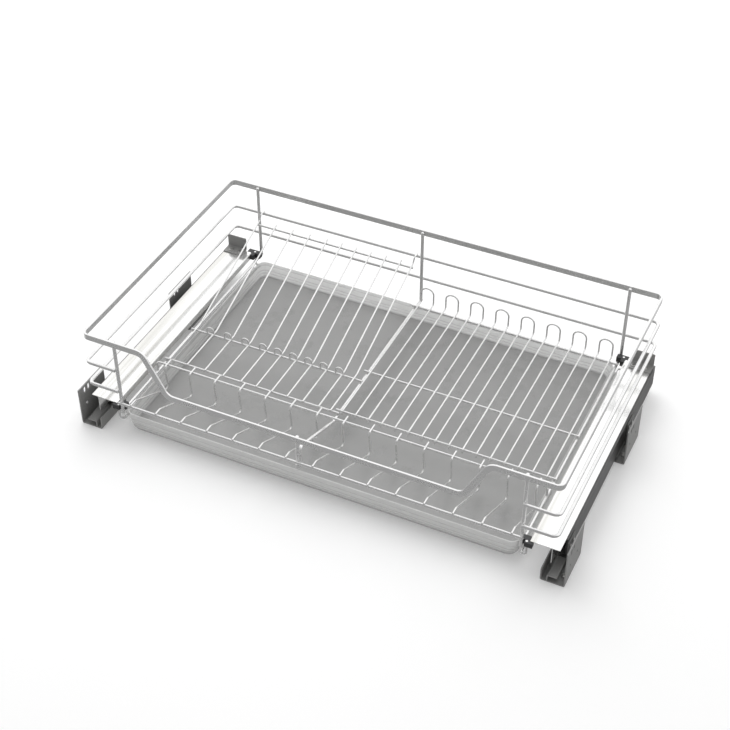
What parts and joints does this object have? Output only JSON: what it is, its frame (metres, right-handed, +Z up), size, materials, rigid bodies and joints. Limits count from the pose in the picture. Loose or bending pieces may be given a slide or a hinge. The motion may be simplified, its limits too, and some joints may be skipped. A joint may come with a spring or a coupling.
{
  "type": "cabinet dish rack",
  "caption": "Pull-out wire dish rack for a base cabinet, with plate and bowl inserts, a cup cradle and a clear drip tray, on ball bearing runners.",
  "frame": {"origin": "middle of the rack on the cabinet floor, under the centre of its box", "axes": "+X to the right across the cabinet, +Y towards the cabinet's back, +Z up; the basket pulls out along -Y"},
  "size_m": [0.864, 0.507, 0.1986],
  "materials": {
    "satin_chrome": "satin chrome plated steel wire and bar",
    "polished_plate": "polished bright sheet",
    "dark_steel": "dark grey coated sheet steel",
    "smoked_plastic": "clear smoke grey moulded plastic",
    "dark_plastic": "moulded, fine grain",
    "zinc_steel": "bright zinc plated",
    "ball_steel": "polished bearing steel"
  },
  "bodies": {
    "mounting": {"bracket_front_left": "dark_steel", "bracket_front_right": "dark_steel", "bracket_rear_left": "dark_steel", "bracket_rear_right": "dark_steel", "adjusting_screws": "zinc_steel", "rail_rivets": "zinc_steel", "fixed_rail_left": "dark_steel", "fixed_rail_right": "dark_steel"},
    "basket": {"top_rail": "satin_chrome", "upper_side_wire": "satin_chrome", "lower_side_wire": "satin_chrome", "front_posts": "satin_chrome", "front_centre_post": "satin_chrome", "post_cap": "satin_chrome", "back_posts": "satin_chrome", "side_bars": "satin_chrome", "centre_bar": "satin_chrome", "front_bottom_wire": "satin_chrome", "cradle_wires": "satin_chrome", "cradle_cross_wire": "satin_chrome", "tray_hanger_left": "satin_chrome", "tray_hanger_right": "satin_chrome", "basket_rail_left": "dark_steel", "basket_rail_right": "dark_steel", "cover_plate_left": "polished_plate", "cover_plate_right": "polished_plate", "plate_screws": "zinc_steel", "front_clips": "dark_plastic", "rear_clips": "dark_plastic", "rear_stop_left": "dark_steel", "rear_stop_right": "dark_steel", "stop_screws": "zinc_steel"},
    "left_middle": {"middle_rail_left": "dark_steel"},
    "left_outer_cage": {"outer_cage_left": "zinc_steel", "outer_balls_left": "ball_steel"},
    "left_inner_cage": {"inner_cage_left": "zinc_steel", "inner_balls_left": "ball_steel"},
    "right_middle": {"middle_rail_right": "dark_steel"},
    "right_outer_cage": {"outer_cage_right": "zinc_steel", "outer_balls_right": "ball_steel"},
    "right_inner_cage": {"inner_cage_right": "zinc_steel", "inner_balls_right": "ball_steel"},
    "plate_rack": {"plate_rack_wires": "satin_chrome", "plate_rack_arches": "satin_chrome", "plate_rack_cross_wires": "satin_chrome"},
    "bowl_rack": {"bowl_rack_wires": "satin_chrome", "bowl_rack_cross_wires": "satin_chrome"},
    "drip_tray": {"drip_tray": "smoked_plastic"}
  },
  "joints": [
    {"name": "basket_slide", "type": "slide", "parent": "mounting", "child": "basket", "axis": [0, -1, 0], "range_m": [0, 0.4]},
    {"name": "left_middle_slide", "type": "slide", "parent": "mounting", "child": "left_middle", "axis": [0, -1, 0], "range_m": [0, 0.2]},
    {"name": "left_outer_cage_slide", "type": "slide", "parent": "mounting", "child": "left_outer_cage", "axis": [0, -1, 0], "range_m": [0, 0.1]},
    {"name": "left_inner_cage_slide", "type": "slide", "parent": "mounting", "child": "left_inner_cage", "axis": [0, -1, 0], "range_m": [0, 0.3]},
    {"name": "right_middle_slide", "type": "slide", "parent": "mounting", "child": "right_middle", "axis": [0, -1, 0], "range_m": [0, 0.2]},
    {"name": "right_outer_cage_slide", "type": "slide", "parent": "mounting", "child": "right_outer_cage", "axis": [0, -1, 0], "range_m": [0, 0.1]},
    {"name": "right_inner_cage_slide", "type": "slide", "parent": "mounting", "child": "right_inner_cage", "axis": [0, -1, 0], "range_m": [0, 0.3]},
    {"name": "plate_rack_lift", "type": "slide", "parent": "basket", "child": "plate_rack", "axis": [0, 0, 1], "range_m": [0, 0.04]},
    {"name": "bowl_rack_lift", "type": "slide", "parent": "basket", "child": "bowl_rack", "axis": [0, 0, 1], "range_m": [0, 0.1]},
    {"name": "tray_slide", "type": "slide", "parent": "basket", "child": "drip_tray", "axis": [0, -1, 0], "range_m": [0, 0.34]}
  ],
  "couplings": [
    {"joint": "left_middle_slide", "follows": "basket_slide", "ratio": 0.5},
    {"joint": "left_outer_cage_slide", "follows": "basket_slide", "ratio": 0.25},
    {"joint": "left_inner_cage_slide", "follows": "basket_slide", "ratio": 0.75},
    {"joint": "right_middle_slide", "follows": "basket_slide", "ratio": 0.5},
    {"joint": "right_outer_cage_slide", "follows": "basket_slide", "ratio": 0.25},
    {"joint": "right_inner_cage_slide", "follows": "basket_slide", "ratio": 0.75}
  ]
}
